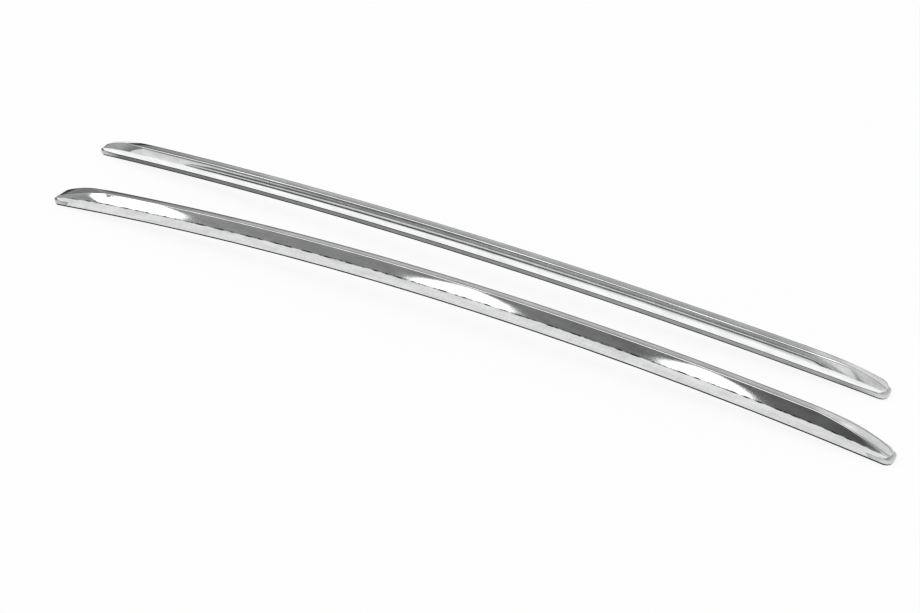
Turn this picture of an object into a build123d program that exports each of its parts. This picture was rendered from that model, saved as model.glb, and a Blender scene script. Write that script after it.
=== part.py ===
from build123d import *
from math import asin, atan2, cos, degrees, radians, sin
import os

# Roof side rail pair, in mm. The right-hand rail is built first and the
# left-hand rail is its mirror image, laid beside it.
# +X is toward the front end, +Z is up. The origin is the bottom centre of
# the pair's bounding box.

# Rail as a whole
rail_length = 1736.0
crown = 40.2           # rise of the middle above the chord
bow = 16.5             # lean of the middle toward the other rail
base_width = 34.5

# Cross-section heights above the ground line
seal_height = 3.0
flange_height = 10.4
wall_height = 23.1
rail_height = 38.6
top_fall = 0.6         # the inner edge of the top facet is this much lower
inner_break_height = 22.2

# Cross-section places across the width, in from the outer face
wall_draft = 0.6
crease_in = 14.3
flange_inset = 0.5     # the base flange sits this far inside the outer wall

# Cross-section places across the width, back from the inner side of the base
top_inner_back = 3.2
inner_break_back = 0.2
inner_foot_back = 0.9

joint_gap = 0.3        # the outer wall ends this far above the seal

# Edge radii of the section
wall_edge_r = 1.3
crease_r = 1.6
top_inner_r = 1.8
inner_break_r = 1.6
flange_edge_r = 0.8

# Run-out of the section toward each tip: where it starts, how it gathers pace
# and how far each edge has moved at the nose
crease_runout = 148.0
crease_power = 1.8
crease_drop = 21.0
wall_drop = 6.0
inner_runout = 104.0
inner_power = 2.0
inner_drop = 20.2
break_drop = 6.0
spread_runout = 136.0
spread_power = 1.1
crease_spread = 12.6   # the crease and the inner edge drift toward the outer face
inner_spread = 6.4

# Nose
nose_setback = 6.0     # the nose stands back from the tip of the base flange
nose_toe = 0.10        # share of the width lost before the nose rounds off
nose_toe_length = 50.0
nose_toe_power = 1.3
nose_round = 12.0      # length over which the nose rounds off in plan
nose_power = 2.3       # fullness of that rounding
nose_roll = 16.0       # length over which the nose rolls over from above
nose_low = 0.35        # share of the height left at the very front
nose_sharp = 0.6       # share of each edge radius lost at the nose
nose_steps = 16
nose_step_power = 2.2
tip_corner_r = 14.0    # corners of the base flange in plan

# Channel under the bar
wall = 3.0
slot_width = 16.0
end_web = 42.0         # solid end between the channel and the tip
low_roof = 14.0        # height of the channel under the falling top

# Seal
seal_outer_inset = 1.0
seal_inner_inset = 1.5
seal_band = 5.5

# Mounting plates and pads
station_count = 5
station_end = 168.0    # the outermost bolts stand this far from the tips
plate_length = 64.0
plate_thick = 5.0
plate_clear = 1.5      # room between a plate and the sides of the channel
plate_corner_r = 5.0
boss_r = 7.0
boss_reach = 2.0       # the boss ends this far below the seal, to centre in the roof hole
nut_flats = 13.0
nut_height = 6.5
thread_r = 3.4
thread_lead = 0.8
pad_clear = 1.0        # room between a pad and the seal
pad_gap = 0.05         # room between a flat pad and the arched bar above it

# Lay of the pair
pair_spacing = 234.0   # between the two outer faces, at the tips
pair_stagger = -69.3
pair_toe = -1.55       # degrees

edge_match = 0.01      # two radii within this are the same edge

os.makedirs("parts", exist_ok=True)

# The rail follows an arc whose plane leans inward by the bow.
arc_lean = degrees(atan2(bow, crown))
sagitta = (crown**2 + bow**2) ** 0.5
arc_r = (rail_length / 2) ** 2 / (2 * sagitta) + sagitta / 2
tip_angle = degrees(asin(rail_length / 2 / arc_r))
out_dir = Vector(0, sin(radians(arc_lean)), cos(radians(arc_lean)))
axis_dir = Vector(0, cos(radians(arc_lean)), -sin(radians(arc_lean)))
arc_centre = Vector(0, bow, crown) - out_dir * arc_r
arc_axis = Axis(arc_centre, axis_dir)

top_inner_in = base_width - top_inner_back
inner_break_in = base_width - inner_break_back
inner_foot_in = base_width - inner_foot_back
mid_across = base_width / 2
nose_middle = (wall_draft + inner_break_in) / 2
slot_middle = inner_foot_in / 2
slot_near = slot_middle - slot_width / 2
slot_far = slot_middle + slot_width / 2
plate_width = inner_foot_in - 2 * wall - 2 * plate_clear
pad_r = slot_middle - seal_band - pad_clear
runout = max(crease_runout, inner_runout, spread_runout)


def angle_at(tip_distance):
    """Angle from mid-length of a place this far from the tip."""
    return tip_angle - degrees(tip_distance / arc_r)


def place_at(angle):
    """Section plane at an angle: x across toward the other rail, y up, normal along the rail."""
    radial = Vector(1, 0, 0) * sin(radians(angle)) + out_dir * cos(radians(angle))
    along = Vector(1, 0, 0) * cos(radians(angle)) - out_dir * sin(radians(angle))
    across = radial * sin(radians(arc_lean)) + axis_dir * cos(radians(arc_lean))
    return Plane(origin=arc_centre + radial * arc_r, x_dir=across, z_dir=along)


def base_plane(angle, height):
    """Plane parallel to the base at an angle: x along the rail, y across, normal up."""
    section = place_at(angle)
    return Plane(
        origin=section.origin + section.y_dir * height,
        x_dir=section.z_dir,
        z_dir=section.y_dir,
    )


def turn_along(reach, mode=Mode.ADD):
    """Turn the pending section about the arc's axis, from -reach to +reach."""
    revolve(axis=arc_axis, revolution_arc=2 * reach, mode=mode)


def block_section(near, far, low, high):
    """Rectangle in a section plane, between two places across and two heights."""
    with Locations(((near + far) / 2, (low + high) / 2)):
        Rectangle(far - near, high - low)


def run_share(tip_distance, start, power):
    """Share of a change that starts this far from the tip and is whole at the nose."""
    return max(0, (start - tip_distance) / (start - nose_setback)) ** power


def nose_shape(tip_distance):
    """Shares of the full width and height that the rounding of the nose leaves."""
    step = tip_distance - nose_setback
    toe = nose_toe * max(0, 1 - step / nose_toe_length) ** nose_toe_power
    rounding = (1 - max(0, 1 - step / nose_round) ** nose_power) ** (1 / nose_power)
    curl = max(0, 1 - step / nose_roll)
    return (1 - toe) * rounding, nose_low + (1 - nose_low) * (1 - curl**2) ** 0.5


def bar_outline(tip_distance):
    """Outline of the bar at a distance from the tip."""
    fall = run_share(tip_distance, crease_runout, crease_power)
    late = run_share(tip_distance, inner_runout, inner_power)
    spread = run_share(tip_distance, spread_runout, spread_power)
    corners = [
        (0, seal_height + joint_gap),
        (wall_draft, wall_height - wall_drop * fall),
        (crease_in - crease_spread * spread, rail_height - crease_drop * fall),
        (top_inner_in - inner_spread * spread, rail_height - top_fall - inner_drop * late),
        (inner_break_in, inner_break_height - break_drop * late),
        (inner_foot_in, seal_height + joint_gap),
    ]
    narrow, low = nose_shape(tip_distance)
    shaped = []
    for across, up in corners:
        rolled = flange_height + (up - flange_height) * low if up > flange_height else up
        shaped.append((nose_middle + (across - nose_middle) * narrow, rolled))
    edge_scale = min(narrow, low) * (1 - nose_sharp * fall)
    radii = [r * edge_scale for r in (0, wall_edge_r, crease_r, top_inner_r, inner_break_r, 0)]
    FilletPolyline(*shaped, radius=radii, close=True)


def channel_outline():
    """Outline of the hollow inside the bar, about one wall thickness in from the outside."""
    Polyline(
        (wall, seal_height + wall),
        (wall + wall_draft, wall_height - wall / 2),
        (crease_in + wall / 3, rail_height - wall),
        (top_inner_in - wall, rail_height - top_fall - wall),
        (inner_break_in - wall, inner_break_height),
        (inner_foot_in - wall, seal_height + wall),
        close=True,
    )


def round_tips(near, far, inset):
    """Cut both tips to a blunt end with round corners in plan, seen square to the base."""
    cut_length = 4 * tip_corner_r
    for end in (-1, 1):
        with BuildSketch(base_plane(end * tip_angle, 0)) as tip_cut:
            with Locations((0, mid_across)):
                Rectangle(cut_length, 2 * base_width)
            with Locations((-end * (cut_length + inset), (near + far) / 2)):
                RectangleRounded(2 * cut_length, far - near, tip_corner_r, mode=Mode.SUBTRACT)
        extrude(tip_cut.sketch, amount=2 * rail_height, both=True, mode=Mode.SUBTRACT)


station_angles = []
for index in range(station_count):
    along_rail = (rail_length - 2 * station_end) * (index / (station_count - 1) - 0.5)
    station_angles.append(degrees(along_rail / arc_r))

# Base flange: a low plate under the bar that shows on the inner side and at the tips
over_reach = angle_at(-tip_corner_r)
with BuildPart() as base_flange:
    with BuildSketch(place_at(-over_reach)):
        block_section(flange_inset, base_width, seal_height, flange_height)
    turn_along(over_reach)
    round_tips(0, base_width, 0)
    flange_top = base_flange.faces().sort_by(Axis.Z)[-1]
    fillet(flange_top.edges(), flange_edge_r)

# Rail bar: turned middle, lofted ends, base flange, then the channel from below
with BuildPart() as rail_bar:
    mid_reach = angle_at(runout)
    with BuildSketch(place_at(-mid_reach)):
        with BuildLine():
            bar_outline(runout)
        make_face()
    turn_along(mid_reach)
    for end in (-1, 1):
        for count in range(nose_steps):
            step = (runout - nose_setback) * ((count + 1) / nose_steps) ** nose_step_power
            with BuildSketch(place_at(end * angle_at(nose_setback + step))):
                with BuildLine():
                    bar_outline(nose_setback + step)
                make_face()
        loft()
    add(base_flange.part)
    with BuildSketch(place_at(-mid_reach)):
        with BuildLine():
            channel_outline()
        make_face()
    turn_along(mid_reach, Mode.SUBTRACT)
    low_reach = angle_at(end_web)
    with BuildSketch(place_at(-low_reach)):
        block_section(wall, inner_foot_in - wall, seal_height + wall, low_roof)
        block_section(slot_near, slot_far, 0, seal_height + 2 * wall)
    turn_along(low_reach, Mode.SUBTRACT)
rail_bar.part.label = "right_rail_bar"

# Base seal: a closed loop under the rim
with BuildPart() as base_seal:
    with BuildSketch(place_at(-over_reach)):
        block_section(seal_outer_inset, base_width - seal_inner_inset, 0, seal_height)
    turn_along(over_reach)
    round_tips(seal_outer_inset, base_width - seal_inner_inset, seal_inner_inset)
    window_reach = angle_at(end_web - seal_band)
    with BuildSketch(place_at(-window_reach)):
        block_section(seal_band, base_width - seal_band, -seal_height, 2 * seal_height)
    turn_along(window_reach, Mode.SUBTRACT)
base_seal.part.label = "right_base_seal"

# Mounting plates and their pads, one of each per station
plates = []
pads = []
plate_foot = seal_height + wall
for index, angle in enumerate(station_angles):
    with BuildPart() as mount_plate:
        with BuildSketch(base_plane(angle, plate_foot)):
            with Locations((0, slot_middle)):
                RectangleRounded(plate_length, plate_width, plate_corner_r)
        extrude(amount=plate_thick)
        with BuildSketch(base_plane(angle, -boss_reach)):
            with Locations((0, slot_middle)):
                Circle(boss_r)
        extrude(amount=plate_foot + boss_reach)
        with BuildSketch(base_plane(angle, plate_foot + plate_thick)):
            with Locations((0, slot_middle)):
                RegularPolygon(nut_flats / 2, 6, major_radius=False)
        extrude(amount=nut_height)
        with BuildSketch(base_plane(angle, -boss_reach)):
            with Locations((0, slot_middle)):
                Circle(thread_r)
        extrude(amount=rail_height, mode=Mode.SUBTRACT)
        circles = mount_plate.edges().filter_by(GeomType.CIRCLE)
        rims = circles.filter_by(lambda edge: abs(edge.radius - thread_r) < edge_match)
        chamfer(rims.sort_by(Axis.Z)[0], thread_lead)
    mount_plate.part.label = f"right_mount_plate_{index + 1}"
    plates.append(mount_plate.part)

    with BuildPart() as seal_pad:
        with BuildSketch(base_plane(angle, 0)):
            with Locations((0, slot_middle)):
                Circle(pad_r)
                Circle(boss_r, mode=Mode.SUBTRACT)
        extrude(amount=seal_height - pad_gap)
    seal_pad.part.label = f"right_seal_pad_{index + 1}"
    pads.append(seal_pad.part)

# The left-hand rail mirrors the right-hand one and is laid beside it
right_pieces = [rail_bar.part, base_seal.part, *plates, *pads]
left_lay = Location((pair_stagger, pair_spacing, 0), (0, 0, pair_toe))
left_pieces = []
for piece in right_pieces:
    with BuildPart() as mirrored:
        with Locations(left_lay):
            add(mirror(piece, about=Plane.XZ, mode=Mode.PRIVATE))
    mirrored.part.label = piece.label.replace("right", "left")
    left_pieces.append(mirrored.part)

# The pair's box is centred over the origin and stands on z = 0
pair_box = Compound([*right_pieces, *left_pieces]).bounding_box()
to_origin = Location((-pair_box.center().X, -pair_box.center().Y, -pair_box.min.Z))
for piece in (*right_pieces, *left_pieces):
    placed = piece.moved(to_origin)
    placed.label = piece.label
    export_step(placed, f"parts/{placed.label}.step")
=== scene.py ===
import math

import bmesh
import bpy
from mathutils import Matrix, Vector


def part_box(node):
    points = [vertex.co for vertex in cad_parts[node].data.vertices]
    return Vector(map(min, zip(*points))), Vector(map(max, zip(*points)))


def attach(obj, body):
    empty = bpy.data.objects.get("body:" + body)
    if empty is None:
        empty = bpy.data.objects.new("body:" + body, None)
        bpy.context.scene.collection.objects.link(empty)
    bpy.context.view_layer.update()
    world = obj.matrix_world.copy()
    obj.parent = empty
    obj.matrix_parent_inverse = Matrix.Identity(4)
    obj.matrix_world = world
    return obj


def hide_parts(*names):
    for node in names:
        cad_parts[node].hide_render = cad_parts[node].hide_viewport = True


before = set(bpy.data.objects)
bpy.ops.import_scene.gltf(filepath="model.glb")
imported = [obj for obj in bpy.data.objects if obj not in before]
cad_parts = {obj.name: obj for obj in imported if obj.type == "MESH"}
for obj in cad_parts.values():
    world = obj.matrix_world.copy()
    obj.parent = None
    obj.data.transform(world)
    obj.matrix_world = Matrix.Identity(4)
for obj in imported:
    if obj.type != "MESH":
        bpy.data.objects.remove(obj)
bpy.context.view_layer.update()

# The driving sizes of the part's source, in millimetres
RAIL_LENGTH = 1736.0
CROWN = 40.2
BOW = 16.5
BASE_WIDTH = 34.5
SEAL_HEIGHT = 3.0
FLANGE_HEIGHT = 10.4
WALL_HEIGHT = 23.1
RAIL_HEIGHT = 38.6
TOP_FALL = 0.6
INNER_BREAK_HEIGHT = 22.2
WALL_DRAFT = 0.6
CREASE_IN = 14.3
FLANGE_INSET = 0.5
TOP_INNER_IN = BASE_WIDTH - 3.2
INNER_BREAK_IN = BASE_WIDTH - 0.2
INNER_FOOT_IN = BASE_WIDTH - 0.9
JOINT_GAP = 0.3
EDGE_RADII = (1.3, 1.6, 1.8, 1.6)
FLANGE_EDGE_R = 0.8
CREASE_RUNOUT, CREASE_POWER, CREASE_DROP, WALL_DROP = 148.0, 1.8, 21.0, 6.0
INNER_RUNOUT, INNER_POWER, INNER_DROP, BREAK_DROP = 104.0, 2.0, 20.2, 6.0
SPREAD_RUNOUT, SPREAD_POWER, CREASE_SPREAD, INNER_SPREAD = 136.0, 1.1, 12.6, 6.4
NOSE_SETBACK = 6.0
NOSE_TOE, NOSE_TOE_LENGTH, NOSE_TOE_POWER = 0.10, 50.0, 1.3
NOSE_ROUND, NOSE_POWER, NOSE_ROLL = 12.0, 2.3, 16.0
NOSE_LOW, NOSE_SHARP = 0.35, 0.6
TIP_CORNER_R = 14.0
WALL = 3.0
SLOT_WIDTH = 16.0
END_WEB = 42.0
LOW_ROOF = 14.0
BOSS_REACH = 2.0
PAIR_SPACING, PAIR_STAGGER, PAIR_TOE = 234.0, -69.3, -1.55

# What the drawn shell adds to the source, in millimetres
FACET_LEAN = 0.9  # the steep inner facet leans this much further in at its top
BREAK_OUT = 0.2  # the break edge below it stands this much further out
FACET_SWELLS = (0, 0.27, 0.3, 0.25, 0)  # how far each side swells, from the outer wall to the inner one
SOFT_REACH, SOFT_GROWTH = 190.0, 3.2  # the inner top edge softens toward the front end
RIM_SHADE_LINE = 0.6  # the painted shade line under the flange's top edge is this wide

# How finely the shell is divided
ARC_STEPS = 8  # segments round each edge of the section
FACET_STEPS = 6  # segments across each facet
TIP_STEPS = 14  # segments round each corner of the flange
NOSE_STATIONS, MIDDLE_STATIONS, CHANNEL_STATIONS = 60, 110, 60
NOSE_CROWDING = 2.2  # the stations of a nose stand closer together toward its tip
NOSE_START = 0.01  # millimetres between the very end of the nose and its first station
MERGE_GAP = 1e-4  # points of the shell that lie this close, in millimetres, become one
SHARP_ANGLE = 0.7  # radians between faces from which an edge stays sharp

# How dull the metal is, and how much painted shade darkens its colour: 0 on the polished bar, and more on
# the flange and in the channel
CHANNEL_DULL_AND_SHADE, RIM_DULL_AND_SHADE, RIM_TOP_DULL_AND_SHADE = 1, 0.9, 1.45
TIP_SHINE = 0.9  # this share of it is lost at the tips, which are painted lighter
TIP_SHINE_START = 1.4 * END_WEB  # millimetres from the tip where that begins
DULL_AND_SHADE_MIDDLE, DULL_AND_SHADE_FALL = 1.1, 0.3  # it fades along the rail, from the back end to the front, so the painted shade is darker toward the back end

# The polished metal: tones of its sides, which paint light and shade side by side, and painted shade lines
# beside its edges in metres
WALL_TONE, FACET_TONE, INNER_WALL_TONE = 0.71, 0.65, 0.93
DRAWN_DEPTH, HATCH_DEPTH, CLOUD_DEPTH = 0.3, 0.2, 0.4  # how much each pattern changes the tone
SHEEN_SLANT = 0.6  # how far the painted sheen runs along the bar for each step across it
EDGE_BLEND = 0.002  # one tone passes into the next over this width
WALL_LINE_WIDTH, CREASE_LINE_WIDTH, TOP_LINE_WIDTH = 0.0013, 0.0007, 0.0008
CREASE_LINE_IN, TOP_LINE_IN = 0.0014, 0.002  # both lie on the top facet, this far from its edges
# how far the painted shade lines and the painted shade of the dull metal darken the tone
WALL_LINE_DEPTH, TOP_LINES_DEPTH, PAINTED_SHADE_DEPTH = 0.95, 0.55, 0.6

# The camera stands where the photograph was taken from: metres, degrees and pixels of the photograph
CAMERA_AT = (1.5107, -2.4419, 1.6582)
CAMERA_AZIMUTH, CAMERA_ELEVATION = 31.08, 30.71
FOCAL_PIXELS, PHOTO_WIDTH = 1800, 920
SENSOR_WIDTH = 36
LAMP_DISTANCE, LAMP_RADIANCE = 4.0, 2.0
FLOOR_HALF = 30
FLOOR_WHITE = 0.9  # share of the floor's look that is plain white; the rest keeps the shadow

MM = 0.001

arc_lean = math.atan2(BOW, CROWN)
sagitta = math.hypot(BOW, CROWN)
arc_r = (RAIL_LENGTH / 2) ** 2 / (2 * sagitta) + sagitta / 2
half_length = arc_r * math.asin(RAIL_LENGTH / 2 / arc_r)
out_dir = Vector((0, math.sin(arc_lean), math.cos(arc_lean)))
axis_dir = Vector((0, math.cos(arc_lean), -math.sin(arc_lean)))
arc_centre = Vector((0, BOW, CROWN)) - out_dir * arc_r
slot_middle = INNER_FOOT_IN / 2
slot_near = slot_middle - SLOT_WIDTH / 2
slot_far = slot_middle + SLOT_WIDTH / 2
nose_middle = (WALL_DRAFT + INNER_BREAK_IN) / 2
runout = max(CREASE_RUNOUT, INNER_RUNOUT, SPREAD_RUNOUT)

# The middle plate of the right-hand rail says where the pair lies in the frame.
plate_low, plate_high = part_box("right_mount_plate_3")
right_at = Vector((
    (plate_low.x + plate_high.x) / 2,
    (plate_low.y + plate_high.y) / 2 - (BOW + slot_middle) * MM,
    plate_low.z - (CROWN - BOSS_REACH) * MM,
))
to_right = Matrix.Translation(right_at) @ Matrix.Scale(MM, 4)
to_left = (
    to_right
    @ Matrix.Translation((PAIR_STAGGER, PAIR_SPACING, 0))
    @ Matrix.Rotation(math.radians(PAIR_TOE), 4, "Z")
    @ Matrix.Scale(-1, 4, (0, 1, 0))
)


def bend(flat):
    """Where a point along the rail, across it and up from its base lies on the arched rail."""
    turn = flat.x / arc_r
    radial = Vector((math.sin(turn), 0, 0)) + out_dir * math.cos(turn)
    along = Vector((math.cos(turn), 0, 0)) - out_dir * math.sin(turn)
    across = radial * math.sin(arc_lean) + axis_dir * math.cos(arc_lean)
    return arc_centre + radial * arc_r + across * flat.y + along.cross(across) * flat.z


def run_share(tip, start, power):
    """Share of a change that starts this far from the tip and is whole at the nose."""
    return max(0, (start - tip) / (start - NOSE_SETBACK)) ** power


def rounded(corners, radii):
    """A chain of corners with arcs at the inner ones, as runs of points: facet, arc, facet and so on."""
    runs = []
    leave = corners[0]
    for before, corner, after, radius in zip(corners, corners[1:], corners[2:], radii):
        come = (before - corner).normalized()
        go = (after - corner).normalized()
        half = come.angle(go) / 2
        centre = corner + (come + go).normalized() * (radius / math.sin(half))
        first = corner + come * (radius / math.tan(half))
        last = corner + go * (radius / math.tan(half))
        arc = []
        for step in range(ARC_STEPS + 1):
            spoke = (first - centre).lerp(last - centre, step / ARC_STEPS)
            arc.append(centre + spoke.normalized() * radius)
        runs.append([leave, first])
        runs.append(arc)
        leave = last
    runs.append([leave, corners[-1]])
    return runs


def girth_of(points):
    """Length along a chain of points, at each of them."""
    girth = [0]
    for before, after in zip(points, points[1:]):
        girth.append(girth[-1] + (Vector(after) - Vector(before)).length)
    return girth


def section(tip, soft=0):
    """Outline of the bar at a distance from the tip, from its outer foot over to its inner foot."""
    fall = run_share(tip, CREASE_RUNOUT, CREASE_POWER)
    late = run_share(tip, INNER_RUNOUT, INNER_POWER)
    spread = run_share(tip, SPREAD_RUNOUT, SPREAD_POWER)
    corners = [
        (0, SEAL_HEIGHT + JOINT_GAP),
        (WALL_DRAFT, WALL_HEIGHT - WALL_DROP * fall),
        (CREASE_IN - CREASE_SPREAD * spread, RAIL_HEIGHT - CREASE_DROP * fall),
        (TOP_INNER_IN - FACET_LEAN - INNER_SPREAD * spread,
         RAIL_HEIGHT - TOP_FALL - INNER_DROP * late),
        (INNER_BREAK_IN + BREAK_OUT, INNER_BREAK_HEIGHT - BREAK_DROP * late),
        (INNER_FOOT_IN, SEAL_HEIGHT + JOINT_GAP),
    ]
    step = tip - NOSE_SETBACK
    toe = NOSE_TOE * max(0, 1 - step / NOSE_TOE_LENGTH) ** NOSE_TOE_POWER
    plan = (1 - max(0, 1 - step / NOSE_ROUND) ** NOSE_POWER) ** (1 / NOSE_POWER)
    narrow = (1 - toe) * plan
    low = NOSE_LOW + (1 - NOSE_LOW) * math.sqrt(1 - max(0, 1 - step / NOSE_ROLL) ** 2)
    shaped = []
    for across, up in corners:
        if up > FLANGE_HEIGHT:
            up = FLANGE_HEIGHT + (up - FLANGE_HEIGHT) * low
        shaped.append(Vector((nose_middle + (across - nose_middle) * narrow, up)))
    scale = min(narrow, low) * (1 - NOSE_SHARP * fall)
    points = []
    radii = [r * scale for r in EDGE_RADII]
    radii[2] += soft * (1 - late)
    for count, run in enumerate(rounded(shaped, radii)):
        if len(run) > 2:
            points += run
            continue
        chord = run[1] - run[0]
        swell = FACET_SWELLS[count // 2] * scale
        for part in range(1 if points else 0, FACET_STEPS):
            share = part / FACET_STEPS
            rise = Vector((-chord.y, chord.x)).normalized() * (4 * share * (1 - share) * swell)
            points.append(run[0] + chord * share + rise)
    points.append(shaped[-1])
    return points


def grid_sheet(bm, outlines, dull_and_shade):
    """A sheet through outlines of (along, across, up) points, with one value for each point of one outline:
    how dull the metal is there and how much painted shade darkens it.
    """
    rows, count = len(outlines), len(outlines[0])
    girth = girth_of(outlines[rows // 2])
    made = bmesh.ops.create_grid(bm, x_segments=rows - 1, y_segments=count - 1, size=1)["verts"]
    lay = bm.verts.layers.float_vector["lay"]
    for vert in made:
        row = round((vert.co.x + 1) / 2 * (rows - 1))
        column = round((vert.co.y + 1) / 2 * (count - 1))
        vert.co = outlines[row][column]
        from_tip = half_length - abs(vert.co.x)
        tip_share = max(0, min(1, (TIP_SHINE_START - from_tip) / END_WEB))
        kept = (1 - TIP_SHINE * tip_share) * (DULL_AND_SHADE_MIDDLE - DULL_AND_SHADE_FALL * vert.co.x / half_length)
        vert[lay] = (vert.co.x * MM, girth[column] * MM, dull_and_shade[column] * kept)


def bar_sheet(bm):
    """The polished outside of the bar."""
    nose = [NOSE_SETBACK + NOSE_START]
    for step in range(1, NOSE_STATIONS + 1):
        nose.append(NOSE_SETBACK + (runout - NOSE_SETBACK) * (step / NOSE_STATIONS) ** NOSE_CROWDING)
    reach = half_length - runout
    places = [tip - half_length for tip in nose]
    places += [reach * (2 * step / MIDDLE_STATIONS - 1) for step in range(1, MIDDLE_STATIONS)]
    places += [half_length - tip for tip in reversed(nose)]
    outlines = []
    for at in places:
        tip = min(half_length - abs(at), runout)
        soft = SOFT_GROWTH * max(0, 1 - (half_length - at) / SOFT_REACH)
        outlines.append([(at, *point) for point in section(tip, soft)])
    grid_sheet(bm, outlines, [0] * len(outlines[0]))


def channel_sheet(bm):
    """The channel under the bar, up through its slot, with a wall at each end."""
    floor = SEAL_HEIGHT + WALL
    far = INNER_FOOT_IN - WALL
    tall = [
        (WALL, floor), (WALL + WALL_DRAFT, WALL_HEIGHT - WALL / 2),
        (CREASE_IN + WALL / 3, RAIL_HEIGHT - WALL),
        (TOP_INNER_IN - WALL, RAIL_HEIGHT - TOP_FALL - WALL),
        (INNER_BREAK_IN - WALL, INNER_BREAK_HEIGHT), (far, floor),
    ]
    low = [(WALL, floor), (WALL, LOW_ROOF), (slot_near, LOW_ROOF), (slot_far, LOW_ROOF),
           (far, LOW_ROOF), (far, floor)]
    shut = [(slot_near, floor)] * 3 + [(slot_far, floor)] * 3
    middle = half_length - runout
    end = half_length - END_WEB
    rows = [(-end, shut), (-end, low), (-middle, low)]
    for step in range(CHANNEL_STATIONS + 1):
        rows.append((middle * (2 * step / CHANNEL_STATIONS - 1), tall))
    rows += [(middle, low), (end, low), (end, shut)]
    outlines = []
    for at, shape in rows:
        sides = [(slot_near, SEAL_HEIGHT), (slot_near, floor), *shape,
                 (slot_far, floor), (slot_far, SEAL_HEIGHT)]
        outlines.append([(at, *point) for point in sides])
    grid_sheet(bm, outlines, [CHANNEL_DULL_AND_SHADE] * len(outlines[0]))


def flange_sheet(bm):
    """The low plate under the bar: its slotted underside, its rim with round tips, and its top."""
    straight = half_length - TIP_CORNER_R
    near = FLANGE_INSET + TIP_CORNER_R
    far = BASE_WIDTH - TIP_CORNER_R
    rim = []
    for step in range(MIDDLE_STATIONS + 1):
        rim.append((straight * (2 * step / MIDDLE_STATIONS - 1), near, -90))
    for step in range(1, TIP_STEPS + 1):
        rim.append((straight, near, 90 * step / TIP_STEPS - 90))
    for step in range(TIP_STEPS + 1):
        rim.append((straight, far, 90 * step / TIP_STEPS))
    rim += [(-at, near + far - across, turn + 180) for at, across, turn in rim]
    rim.append(rim[0])
    reach = half_length - END_WEB
    outlines = []
    for at, across, turn in rim:
        out = Vector((math.cos(math.radians(turn)), math.sin(math.radians(turn)), 0))
        foot = Vector((at, across, SEAL_HEIGHT)) + out * TIP_CORNER_R
        inside = max(-reach, min(reach, foot.x))
        slot = Vector((inside, max(slot_near, min(slot_far, foot.y)), SEAL_HEIGHT))
        rise = FLANGE_HEIGHT - SEAL_HEIGHT - FLANGE_EDGE_R
        points = [slot, foot, foot + Vector((0, 0, rise - RIM_SHADE_LINE))]
        for step in range(ARC_STEPS + 1):
            roll = math.pi / 2 * step / ARC_STEPS
            up = rise + FLANGE_EDGE_R * math.sin(roll)
            points.append(foot - out * (FLANGE_EDGE_R * (1 - math.cos(roll))) + Vector((0, 0, up)))
        top_across = max(WALL, min(INNER_FOOT_IN - WALL, foot.y))
        points.append(Vector((inside, top_across, FLANGE_HEIGHT)))
        outlines.append(points)
    # from just under the rim's top edge, over it and across the top, the metal takes more painted shade
    grid_sheet(bm, outlines, [RIM_DULL_AND_SHADE] * 3 + [RIM_TOP_DULL_AND_SHADE] * (len(outlines[0]) - 3))


def finish_piece(name, bm, matrix):
    """The flat piece bent onto the arc and laid in the frame, with soft and sharp edges marked."""
    for vert in bm.verts:
        vert.co = bend(vert.co)
    bmesh.ops.remove_doubles(bm, verts=bm.verts[:], dist=MERGE_GAP)
    bmesh.ops.transform(bm, matrix=matrix, verts=bm.verts[:])
    bmesh.ops.recalc_face_normals(bm, faces=bm.faces[:])
    for face in bm.faces:
        face.smooth = True
    for edge in bm.edges:
        edge.smooth = len(edge.link_faces) < 2 or edge.calc_face_angle(0) < SHARP_ANGLE
    mesh = bpy.data.meshes.new(name)
    bm.to_mesh(mesh)
    bm.free()
    piece = bpy.data.objects.new(name, mesh)
    bpy.context.scene.collection.objects.link(piece)
    even = piece.modifiers.new("even", "WEIGHTED_NORMAL")
    even.keep_sharp = True
    even.weight = 100
    return piece


class Sock:
    """A shader socket that takes part in arithmetic, each step a Math node."""

    def __init__(self, tree, socket):
        self.tree = tree
        self.socket = socket

    def math(self, operation, *values):
        return node(self.tree, "ShaderNodeMath", {"operation": operation}, {
            index: value for index, value in enumerate(values)})[0]

    def __add__(self, other):
        return self.math("ADD", self, other)

    def __radd__(self, other):
        return self.math("ADD", other, self)

    def __sub__(self, other):
        return self.math("SUBTRACT", self, other)

    def __rsub__(self, other):
        return self.math("SUBTRACT", other, self)

    def __mul__(self, other):
        return self.math("MULTIPLY", self, other)

    def __rmul__(self, other):
        return self.math("MULTIPLY", other, self)

    def __pow__(self, other):
        return self.math("POWER", self, other)

    def clip(self):
        return self.math("MAXIMUM", self.math("MINIMUM", self, 1.0), 0.0)

    def ramp(self, low, high):
        """0 below low, 1 above high, with a soft change between."""
        return node(self.tree, "ShaderNodeMapRange", {"interpolation_type": "SMOOTHSTEP"}, {
            "Value": self, "From Min": low, "From Max": high})[0]

    def toward(self, other, share):
        """This value where share is 0, and the other where it is 1."""
        return self + (other - self) * share

    def stripe(self, middle, width):
        """1 where this value lies about as near to the middle as the width, and 0 further off."""
        return 1 - self.math("ABSOLUTE", self - middle).ramp(0.6 * width, 1.4 * width)


def node(tree, kind, settings=None, inputs=None):
    """A new node with its settings, then its input values or links; gives its output sockets."""
    made = tree.nodes.new(kind)
    for key, value in (settings or {}).items():
        setattr(made, key, value)
    for key, value in (inputs or {}).items():
        if isinstance(value, Sock):
            tree.links.new(value.socket, made.inputs[key])
        else:
            made.inputs[key].default_value = value
    return [Sock(tree, socket) for socket in made.outputs if socket.enabled]


def blank(owner, kind):
    """A node tree with nothing but its output node."""
    owner.use_nodes = True
    owner.node_tree.nodes.clear()
    return owner.node_tree, owner.node_tree.nodes.new(kind)


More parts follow.
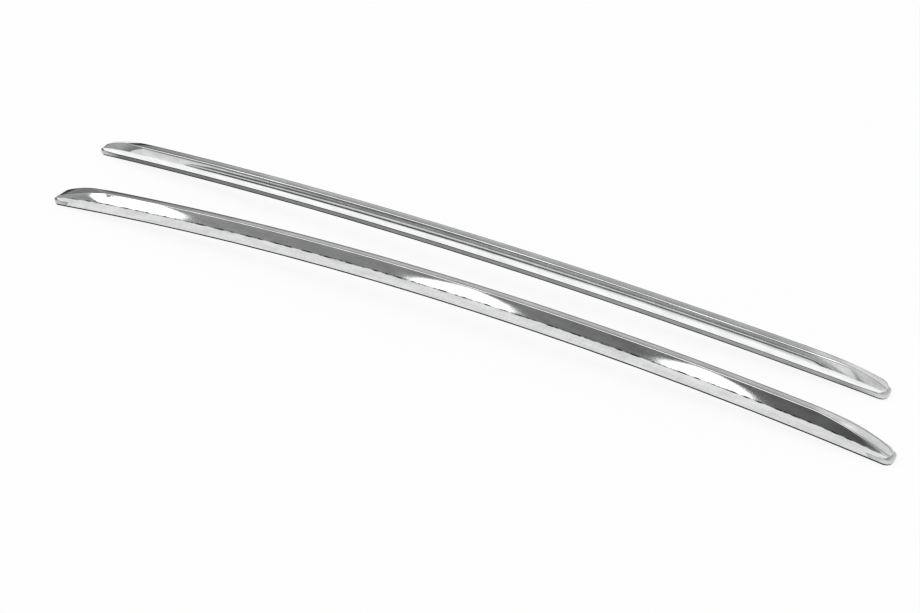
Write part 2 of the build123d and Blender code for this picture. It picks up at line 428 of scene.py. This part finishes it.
def material(name, build, **constants):
    """A material with one Principled shader; build adds what varies over the surface."""
    made = bpy.data.materials.new(name)
    tree, out = blank(made, "ShaderNodeOutputMaterial")
    shader = tree.nodes.new("ShaderNodeBsdfPrincipled")
    for key, value in constants.items():
        shader.inputs[key.replace("_", " ")].default_value = value
    for key, value in build(tree).items():
        tree.links.new(value.socket, shader.inputs[key])
    tree.links.new(shader.outputs["BSDF"], out.inputs["Surface"])
    return made


def stretched(tree, at, scale, detail, shear=0.0):
    """Noise stretched over the bar; shear slants it from along the bar toward across it."""
    along, across, dull_and_shade = node(tree, "ShaderNodeSeparateXYZ", None, {"Vector": at})
    slanted = node(tree, "ShaderNodeCombineXYZ", None, {
        "X": (along - shear * across) * scale[0], "Y": across * scale[1], "Z": dull_and_shade})[0]
    return node(tree, "ShaderNodeTexNoise", None, {"Vector": slanted, "Scale": 1.0, "Detail": detail})[0]


def polish(tree):
    """Drawn lines, a painted slanted sheen, painted shade lines by the edges and a painted bright inner
    wall; dull and painted darker on the flange.
    """
    lay = node(tree, "ShaderNodeAttribute", {"attribute_name": "lay"})[1]
    across, dull_and_shade = node(tree, "ShaderNodeSeparateXYZ", None, {"Vector": lay})[1:]
    drawn = stretched(tree, lay, (4, 1100), 3.0)
    # hatch and cloud paint a slanted sheen into the tone; cloud also varies the roughness
    hatch = stretched(tree, lay, (190, 70), 4.0, SHEEN_SLANT)
    cloud = stretched(tree, lay, (20, 90), 4.0, SHEEN_SLANT)
    dashes = stretched(tree, lay, (45, 0), 2.0).ramp(0.38, 0.6)
    # painted shade: broken dark lines along the wall edge, and dark lines beside both edges of the top
    # facet, left off the dull metal
    wall_shade_line = across.stripe(wall_edge, WALL_LINE_WIDTH) * dashes
    top_shade_lines = across.stripe(crease + CREASE_LINE_IN, CREASE_LINE_WIDTH)
    top_shade_lines = top_shade_lines + across.stripe(top_edge - TOP_LINE_IN, TOP_LINE_WIDTH)
    shade_lines = (WALL_LINE_DEPTH * wall_shade_line + TOP_LINES_DEPTH * top_shade_lines) * (1 - dull_and_shade).clip()
    # painted light and shade: each side takes its own tone, the inner wall the brightest
    facets = across.ramp(wall_edge - EDGE_BLEND, wall_edge)
    inner_wall = across.ramp(inner_break - EDGE_BLEND, inner_break + EDGE_BLEND)
    tone = WALL_TONE + (FACET_TONE - WALL_TONE) * facets + (INNER_WALL_TONE - FACET_TONE) * inner_wall
    for pattern, depth in ((drawn, DRAWN_DEPTH), (hatch, HATCH_DEPTH), (cloud, CLOUD_DEPTH)):
        tone = tone + depth * (pattern - 0.5)
    # painted shade: the lines and the dull parts darken the tone
    tone = tone * (1 - shade_lines) * (1 - PAINTED_SHADE_DEPTH * dull_and_shade).clip()
    shade = node(tree, "ShaderNodeCombineColor", None, {
        "Red": tone * 0.995, "Green": tone, "Blue": tone * 1.005})[0]
    bump = node(tree, "ShaderNodeBump", None, {"Height": drawn, "Strength": 0.05, "Distance": 0.0002})[0]
    return {"Base Color": shade, "Roughness": 0.03 + 0.04 * cloud + 0.2 * dull_and_shade, "Normal": bump}


def rubber(tree):
    """A fine grain in moulded rubber."""
    at = node(tree, "ShaderNodeTexCoord")[3]
    grain = node(tree, "ShaderNodeTexNoise", None, {"Vector": at, "Scale": 900.0, "Detail": 2.0})[0]
    bump = node(tree, "ShaderNodeBump", None, {"Height": grain, "Strength": 0.2, "Distance": 0.0003})[0]
    return {"Roughness": 0.55 + 0.2 * grain, "Normal": bump}


def plated(tree):
    """Cloudy zinc on the steel plates."""
    at = node(tree, "ShaderNodeTexCoord")[3]
    cloud = node(tree, "ShaderNodeTexNoise", None, {"Vector": at, "Scale": 120.0, "Detail": 4.0})[0]
    return {"Roughness": 0.28 + 0.2 * cloud}


# Where the four edges of the bar lie, in metres round its section from the outer foot
middle_girth = girth_of(section(runout))
wall_edge, crease, top_edge, inner_break = [
    middle_girth[FACET_STEPS + ARC_STEPS // 2 + edge * (FACET_STEPS + ARC_STEPS)] * MM
    for edge in range(4)]

metal = material("polished_metal", polish, Metallic=1.0)
seal = material("seal_rubber", rubber, Base_Color=(0.008, 0.008, 0.0085, 1), Specular_IOR_Level=0.25)
zinc = material("plate_steel", plated, Base_Color=(0.55, 0.55, 0.53, 1), Metallic=1.0)

for side, matrix in (("right", to_right), ("left", to_left)):
    bm = bmesh.new()
    bm.verts.layers.float_vector.new("lay")
    bar_sheet(bm)
    channel_sheet(bm)
    flange_sheet(bm)
    piece = finish_piece(f"{side}_rail", bm, matrix)
    piece.data.materials.append(metal)
    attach(piece, "root")
    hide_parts(f"{side}_rail_bar")

for name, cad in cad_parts.items():
    if "seal" in name:
        cad.material_slots[0].material = seal
    elif "plate" in name:
        cad.material_slots[0].material = zinc

# Floor: white for the camera and for the metal, and it keeps the shadow of the rails.
floor_mesh = bpy.data.meshes.new("floor")
bm = bmesh.new()
bmesh.ops.create_grid(bm, x_segments=1, y_segments=1, size=FLOOR_HALF)
bm.to_mesh(floor_mesh)
bm.free()
floor = bpy.data.objects.new("floor", floor_mesh)
bpy.context.scene.collection.objects.link(floor)
white = bpy.data.materials.new("white_floor")
tree, out = blank(white, "ShaderNodeOutputMaterial")
path = node(tree, "ShaderNodeLightPath")
seen = path[0].math("MAXIMUM", path[0], path[3])
paint = node(tree, "ShaderNodeBsdfDiffuse", None, {"Color": (0.9, 0.9, 0.9, 1)})[0]
glow = node(tree, "ShaderNodeEmission", None, {"Color": (1, 1, 1, 1), "Strength": 1.0})[0]
mixed = node(tree, "ShaderNodeMixShader", None, {0: seen * FLOOR_WHITE, 1: paint, 2: glow})[0]
tree.links.new(mixed.socket, out.inputs["Surface"])
floor_mesh.materials.append(white)

# World: a soft studio, pale above and behind the rails and dim in front of them. x runs along the
# rails, and y and z, scaled to a circle, tell the turn about them.
world = bpy.data.worlds.new("studio")
bpy.context.scene.world = world
tree, out = blank(world, "ShaderNodeOutputWorld")
at = node(tree, "ShaderNodeTexCoord")[0]
x, y, z = node(tree, "ShaderNodeSeparateXYZ", None, {"Vector": at})
apart = (y * y + z * z) ** -0.5
y, z = y * apart, z * apart
left = 0 - x
# In front it is darker near the floor and lighter toward both ends.
front = (0.04 + 0.55 * left.clip()) * (0.6 + 0.4 * z.ramp(0.0, 0.35))
front = front.toward(0.85, x.ramp(-0.12, 0.15))
front = front.toward(1.0, x.ramp(-0.2, -0.1) * (1 - z.ramp(0.38, 0.5)))
# Behind it is lightest part of the way up, dims to the left and is bright to the right.
rear = (0.08 + 0.64 * z.ramp(0.24, 0.52)) * (1 - 0.25 * z.ramp(0.51, 0.6))
rear = rear * (1 - 0.5 * left.ramp(0.55, 0.7))
rear = rear.toward(0.9, x.ramp(-0.22, -0.08))
above = (2.0 - 1.2 * x.ramp(-0.1, 0.15)) * (1 - 0.75 * left.ramp(0.7, 0.85))
level = front.toward(rear, y.ramp(-0.3, 0.35)).toward(above, z.ramp(0.83, 0.93))
shade = node(tree, "ShaderNodeCombineColor", None, {"Red": level, "Green": level, "Blue": level})[0]
sky = node(tree, "ShaderNodeBackground", None, {"Color": shade, "Strength": 1.0})[0]
tree.links.new(sky.socket, out.inputs["Surface"])


def lamp(name, aim, toward, width, height):
    """A soft elliptical lamp, as bright whatever its size; its height lies square to the rails."""
    data = bpy.data.lights.new(name, "AREA")
    data.shape = "ELLIPSE"
    data.size = width
    data.size_y = height
    data.energy = LAMP_RADIANCE * math.pi * math.pi * width * height / 4
    made = bpy.data.objects.new(name, data)
    back = toward.normalized()
    tall = Vector((1, 0, 0)).cross(back).normalized()
    turned = Matrix((tall.cross(back), tall, back)).transposed().to_4x4()
    made.matrix_world = Matrix.Translation(aim + back * LAMP_DISTANCE) @ turned
    bpy.context.scene.collection.objects.link(made)


def heading(azimuth, elevation):
    """A direction from the rails; azimuth 0 is -Y and 90 is +X."""
    a, e = math.radians(azimuth), math.radians(elevation)
    return Vector((math.sin(a) * math.cos(e), -math.cos(a) * math.cos(e), math.sin(e)))


# Each lamp shows as a bright lens in the side facet of the near rail.
lamp("strip_left", Vector((-0.612, -0.117, 0.045)), heading(-50.43, 33.33), 0.52, 0.97)
lamp("strip_middle", Vector((0.110, -0.111, 0.065)), heading(-33.67, 37.43), 0.50, 1.44)
lamp("strip_right", Vector((0.581, -0.117, 0.049)), heading(-21.41, 40.15), 0.44, 1.54)

camera = bpy.data.cameras.new("camera")
camera.sensor_fit = "HORIZONTAL"
camera.sensor_width = SENSOR_WIDTH
camera.lens = SENSOR_WIDTH * FOCAL_PIXELS / PHOTO_WIDTH
viewer = bpy.data.objects.new("camera", camera)
viewer.location = CAMERA_AT
viewer.rotation_euler = (math.radians(90 - CAMERA_ELEVATION), 0, math.radians(CAMERA_AZIMUTH))
bpy.context.scene.collection.objects.link(viewer)
bpy.context.scene.camera = viewer
bpy.context.scene.view_settings.view_transform = "Standard"
